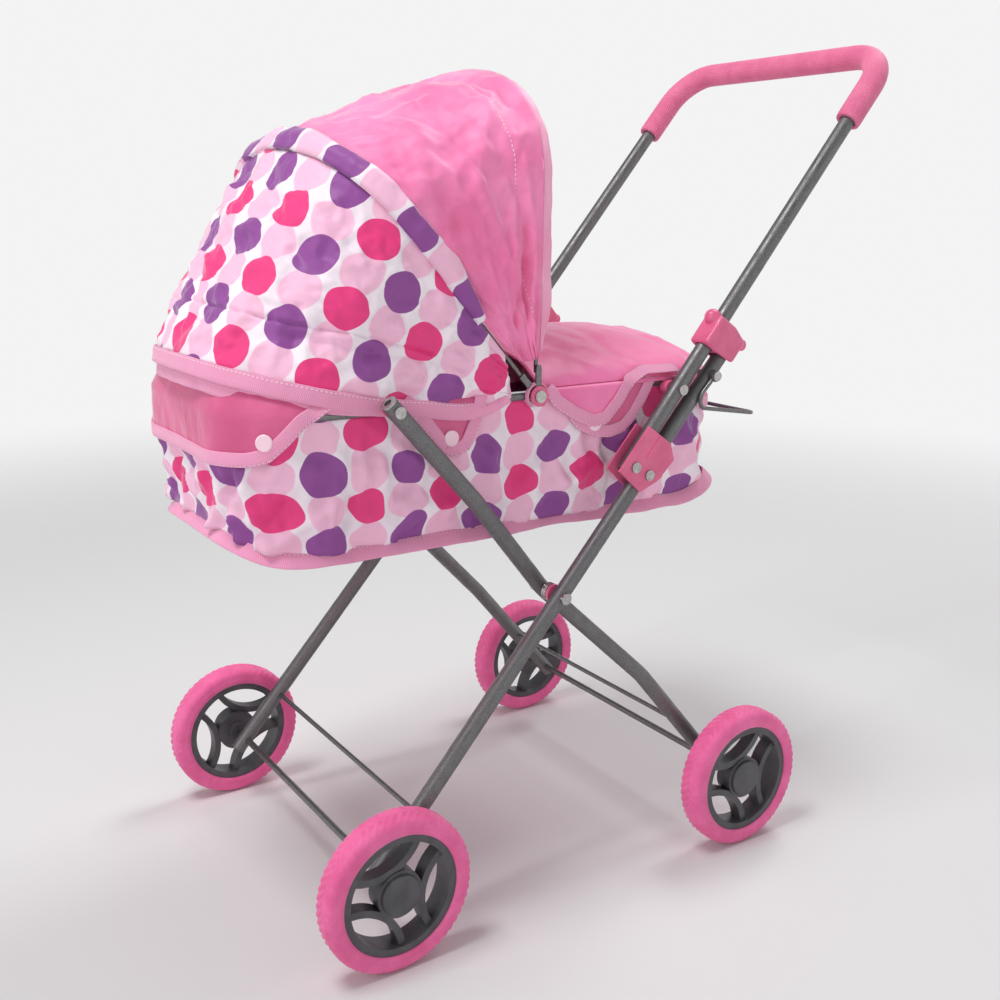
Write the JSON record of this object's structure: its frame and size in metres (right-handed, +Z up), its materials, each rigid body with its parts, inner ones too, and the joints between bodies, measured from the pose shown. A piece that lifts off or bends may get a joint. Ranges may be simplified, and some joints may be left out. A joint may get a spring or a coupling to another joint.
{
  "type": "doll stroller",
  "caption": "Folding doll pram: crossed tube frame, push bar, hooded fabric bassinet with boot cover, foam-tyred wheels.",
  "frame": {"origin": "on the ground under the middle of the outer box", "axes": "+Z up, +Y towards the push bar, +X to the left side as the pusher sees it"},
  "size_m": [0.349, 0.6316, 0.6925],
  "materials": {
    "frame_tube": "grey hammertone enamel, satin",
    "frame_wire": "grey enamel, satin",
    "fasteners": "bright zinc",
    "pink_plastic": "moulded, half gloss",
    "handle_foam": "matt foam with fine ribs",
    "tyre_foam": "matt moulded foam with tread",
    "charcoal_plastic": "moulded, fine grain",
    "dot_fabric": "smooth woven, printed dots",
    "pink_fabric": "smooth woven, slight sheen",
    "binding": "twill tape",
    "snap_plastic": "moulded, glossy",
    "base_board": "pressed board"
  },
  "bodies": {
    "root": {"leg_tube_left": "frame_tube", "leg_tube_right": "frame_tube", "front_axle": "frame_wire", "front_brace_rod": "frame_wire", "rear_wire_brace": "frame_wire", "wire_brace_bolts": "fasteners", "handle_bracket_left": "pink_plastic", "handle_bracket_right": "pink_plastic", "handle_pivot_rivets": "fasteners", "bracket_rivets": "fasteners", "x_pivot_bolts": "fasteners", "x_pivot_spacers": "pink_plastic", "x_pivot_springs": "fasteners", "push_nuts_front": "fasteners"},
    "cross_frame": {"cross_tube_left": "frame_tube", "cross_tube_right": "frame_tube", "cross_tube_plugs": "fasteners", "rear_axle": "frame_wire", "rear_brace_rod": "frame_wire", "rim_front_rivets": "fasteners", "rim_front_spacers": "pink_plastic", "push_nuts_rear": "fasteners"},
    "handle": {"handle_tube": "frame_tube", "handle_foam": "handle_foam", "rim_pivot_rivets": "fasteners", "rim_pivot_spacers": "pink_plastic"},
    "collar_left": {"lock_collar_left": "pink_plastic"},
    "collar_right": {"lock_collar_right": "pink_plastic"},
    "rim": {"rim_tube": "frame_wire", "bassinet_wall": "dot_fabric", "base_board": "base_board", "base_fabric": "binding", "liner_flap_front": "pink_fabric", "liner_flaps_middle": "pink_fabric", "boot_flaps_side": "pink_fabric", "boot_flap_rear": "pink_fabric", "boot_cover": "pink_fabric", "snap_caps": "snap_plastic", "hood_front_panel": "dot_fabric", "hood_hem_binding": "binding", "hood_pivot_washers": "pink_plastic", "hood_pivot_rivets": "fasteners"},
    "front_bow": {"hood_bow_front": "frame_wire"},
    "rear_bow": {"hood_bow_rear": "frame_wire", "hood_crown": "pink_fabric"},
    "wheel_front_left": {"tyre_front_left": "tyre_foam", "wheel_rim_front_left": "charcoal_plastic", "hub_cap_front_left": "charcoal_plastic"},
    "wheel_front_right": {"tyre_front_right": "tyre_foam", "wheel_rim_front_right": "charcoal_plastic", "hub_cap_front_right": "charcoal_plastic"},
    "wheel_rear_left": {"tyre_rear_left": "tyre_foam", "wheel_rim_rear_left": "charcoal_plastic", "hub_cap_rear_left": "charcoal_plastic"},
    "wheel_rear_right": {"tyre_rear_right": "tyre_foam", "wheel_rim_rear_right": "charcoal_plastic", "hub_cap_rear_right": "charcoal_plastic"}
  },
  "joints": [
    {"name": "frame_fold", "type": "hinge", "parent": "root", "child": "handle", "pos_m": [0, 0.0169, 0.342], "axis": [1, 0, 0], "range_deg": [0, 90]},
    {"name": "cross_fold", "type": "hinge", "parent": "root", "child": "cross_frame", "pos_m": [0, -0.0496, 0.2439], "axis": [1, 0, 0], "range_deg": [0, 43.3]},
    {"name": "rim_fold", "type": "hinge", "parent": "handle", "child": "rim", "pos_m": [0, 0.0668, 0.4006], "axis": [1, 0, 0], "range_deg": [-57.7, 0]},
    {"name": "hood_fold", "type": "hinge", "parent": "rim", "child": "front_bow", "pos_m": [0, -0.0646, 0.404], "axis": [1, 0, 0], "range_deg": [0, 22.5]},
    {"name": "hood_rear_fold", "type": "hinge", "parent": "front_bow", "child": "rear_bow", "pos_m": [0, -0.0646, 0.404], "axis": [1, 0, 0], "range_deg": [0, 22.6]},
    {"name": "collar_slide_left", "type": "slide", "parent": "handle", "child": "collar_left", "axis": [0, 0.6481, 0.7615], "range_m": [0, 0.03]},
    {"name": "collar_slide_right", "type": "slide", "parent": "handle", "child": "collar_right", "axis": [0, 0.6481, 0.7615], "range_m": [0, 0.03]},
    {"name": "wheel_spin_front_left", "type": "hinge", "parent": "root", "child": "wheel_front_left", "pos_m": [0.1585, -0.2146, 0.06], "axis": [1, 0, 0], "continuous": true},
    {"name": "wheel_spin_front_right", "type": "hinge", "parent": "root", "child": "wheel_front_right", "pos_m": [-0.1585, -0.2146, 0.06], "axis": [1, 0, 0], "continuous": true},
    {"name": "wheel_spin_rear_left", "type": "hinge", "parent": "cross_frame", "child": "wheel_rear_left", "pos_m": [0.164, 0.1226, 0.06], "axis": [1, 0, 0], "continuous": true},
    {"name": "wheel_spin_rear_right", "type": "hinge", "parent": "cross_frame", "child": "wheel_rear_right", "pos_m": [-0.164, 0.1226, 0.06], "axis": [1, 0, 0], "continuous": true}
  ],
  "couplings": [
    {"joint": "cross_fold", "follows": "frame_fold", "ratio": 0.48},
    {"joint": "rim_fold", "follows": "frame_fold", "ratio": -0.64},
    {"joint": "hood_rear_fold", "follows": "hood_fold", "ratio": 1}
  ]
}
